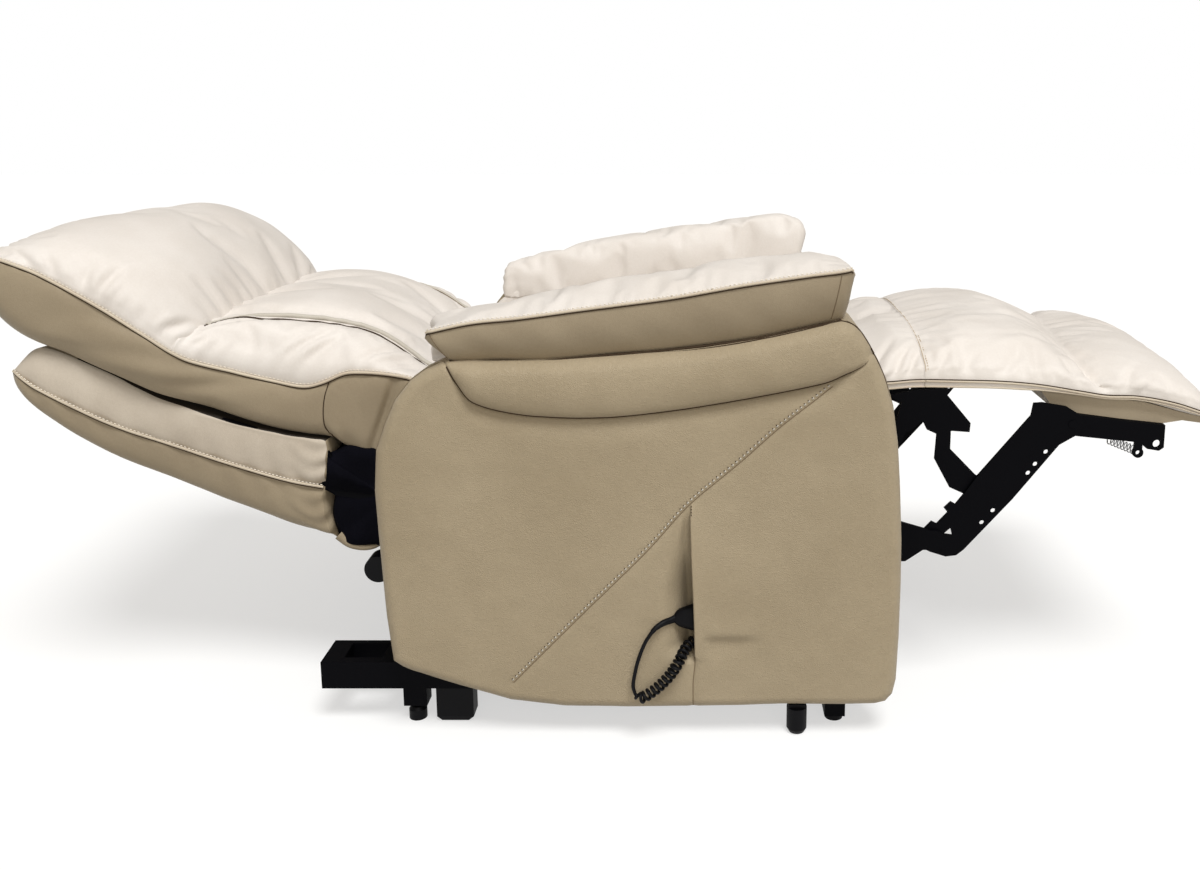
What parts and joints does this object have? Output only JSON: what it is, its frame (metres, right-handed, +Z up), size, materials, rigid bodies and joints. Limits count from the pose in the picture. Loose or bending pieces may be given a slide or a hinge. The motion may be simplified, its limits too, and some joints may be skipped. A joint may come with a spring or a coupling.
{
  "type": "lift recliner chair",
  "caption": "Powered lift recliner chair with stuffed arms, a two-cushion back, a folding footrest on link arms, a steel lift base and a corded handset in a side pocket.",
  "frame": {"origin": "middle of the chair's overall length and width, on the floor", "axes": "+X towards the footrest, +Y to the sitter's left, +Z up"},
  "size_m": [1.7978, 0.8483, 0.7013],
  "materials": {
    "black_steel": "satin black powder coat",
    "black_plastic": "fine texture",
    "grey_aluminium": "dark anodised",
    "bright_steel": "polished",
    "spring_steel": "drawn wire",
    "black_rubber": "matte",
    "pine_board": "sawn",
    "black_cloth": "thin woven",
    "side_cover": "grained cover over padding",
    "cream_cover": "grained leather cover over foam",
    "pale_plastic": "smooth"
  },
  "bodies": {
    "base": {"base_rails": "black_steel", "base_cross_tubes": "black_steel", "rail_caps": "black_plastic", "lift_brackets": "black_steel", "levelling_feet": "black_plastic", "foot_brackets": "black_steel", "front_glides": "black_plastic", "rear_blocks": "black_plastic", "power_supply": "black_plastic", "mains_inlet": "black_plastic", "lift_clevis": "black_steel", "lift_motor": "black_plastic", "lift_actuator_tube": "grey_aluminium"},
    "front_links": {"front_lift_links": "black_steel"},
    "rear_links": {"rear_lift_links": "black_steel", "lift_torque_tube": "black_steel"},
    "lift_rod_body": {"lift_rod": "bright_steel"},
    "carriage": {"mechanism_plates": "black_steel", "carriage_cross_tubes": "black_steel", "lift_hangers": "black_steel", "rear_bumpers": "black_rubber", "arm_frames": "pine_board", "side_panel_right": "side_cover", "side_panel_left": "side_cover", "pocket_insert": "side_cover", "arm_roll_right": "cream_cover", "arm_roll_left": "cream_cover", "arm_pad_right": "cream_cover", "arm_pad_left": "cream_cover", "seat_frame": "pine_board", "seat_springs": "spring_steel", "seat_cushion": "cream_cover", "control_box": "black_plastic", "recline_motor": "black_plastic", "recline_actuator_tube": "grey_aluminium", "footrest_motor": "black_plastic", "footrest_actuator_tube": "grey_aluminium", "handset_body": "black_plastic", "handset_cord": "black_rubber", "curly_cord": "black_rubber", "cord_grommet": "black_rubber"},
    "recline_rod_body": {"recline_rod": "bright_steel"},
    "footrest_rod_body": {"footrest_rod": "bright_steel"},
    "back": {"back_board": "black_cloth", "back_brackets": "black_steel", "rear_shell": "side_cover", "lumbar_cushion": "cream_cover", "head_cushion": "cream_cover", "rear_dust_cover": "black_cloth"},
    "footrest": {"bridge_pad": "cream_cover", "foot_pad": "cream_cover", "footrest_board": "side_cover", "footrest_brackets": "black_steel", "footrest_springs": "spring_steel"},
    "lower_link_pair": {"lower_links": "black_steel"},
    "wide_link_pair": {"wide_links": "black_steel", "crooked_arms": "black_steel"},
    "lift_button": {"lift_rocker": "pale_plastic"},
    "back_button": {"back_rocker": "pale_plastic"},
    "foot_button": {"foot_rocker": "pale_plastic"}
  },
  "joints": [
    {"name": "lift", "type": "hinge", "parent": "base", "child": "front_links", "pos_m": [0.218, 0, 0.125], "axis": [0, 1, 0], "range_deg": [0, 62]},
    {"name": "carriage_pivot", "type": "hinge", "parent": "front_links", "child": "carriage", "pos_m": [0.021, 0, 0.161], "axis": [0, 1, 0], "range_deg": [-37, 0]},
    {"name": "rear_link_pivot", "type": "hinge", "parent": "base", "child": "rear_links", "pos_m": [0.138, 0, 0.157], "axis": [0, 1, 0], "range_deg": [0, 51]},
    {"name": "lift_rod_slide", "type": "slide", "parent": "base", "child": "lift_rod_body", "axis": [0.9444, 0, 0.3287], "range_m": [0, 0.0816]},
    {"name": "recline", "type": "hinge", "parent": "carriage", "child": "back", "pos_m": [-0.335, 0, 0.31], "axis": [0, 1, 0], "range_deg": [0, 52]},
    {"name": "recline_rod_slide", "type": "slide", "parent": "carriage", "child": "recline_rod_body", "axis": [-1, 0, 0], "range_m": [0, 0.081]},
    {"name": "footrest", "type": "hinge", "parent": "carriage", "child": "footrest", "pos_m": [0.44, 0, 0.5], "axis": [0, 1, 0], "range_deg": [0, 80]},
    {"name": "lower_link_pivot", "type": "hinge", "parent": "carriage", "child": "lower_link_pair", "pos_m": [0.238, 0, 0.319], "axis": [0, 1, 0], "range_deg": [0, 81]},
    {"name": "wide_link_pivot", "type": "hinge", "parent": "footrest", "child": "wide_link_pair", "pos_m": [0.677, 0, 0.422], "axis": [0, 1, 0], "range_deg": [-81, 0]},
    {"name": "footrest_rod_slide", "type": "slide", "parent": "carriage", "child": "footrest_rod_body", "axis": [-1, 0, 0], "range_m": [0, 0.0859]},
    {"name": "lift_button_press", "type": "hinge", "parent": "carriage", "child": "lift_button", "pos_m": [0.13947, -0.40364, 0.178], "axis": [0.9945, 0.1045, 0], "range_deg": [-3, 3], "stiffness_Nm_per_rad": 0.02},
    {"name": "back_button_press", "type": "hinge", "parent": "carriage", "child": "back_button", "pos_m": [0.17129, -0.4003, 0.178], "axis": [0.9945, 0.1045, 0], "range_deg": [-3, 3], "stiffness_Nm_per_rad": 0.02},
    {"name": "foot_button_press", "type": "hinge", "parent": "carriage", "child": "foot_button", "pos_m": [0.20312, -0.39695, 0.178], "axis": [0.9945, 0.1045, 0], "range_deg": [-3, 3], "stiffness_Nm_per_rad": 0.02}
  ],
  "couplings": [
    {"joint": "carriage_pivot", "follows": "lift", "ratio": -0.581},
    {"joint": "rear_link_pivot", "follows": "lift", "ratio": 0.809},
    {"joint": "lift_rod_slide", "follows": "lift", "m_per_rad": 0.073592},
    {"joint": "recline_rod_slide", "follows": "recline", "m_per_rad": 0.087059},
    {"joint": "lower_link_pivot", "follows": "footrest", "ratio": 1},
    {"joint": "wide_link_pivot", "follows": "footrest", "ratio": -1},
    {"joint": "footrest_rod_slide", "follows": "footrest", "m_per_rad": 0.060096}
  ]
}
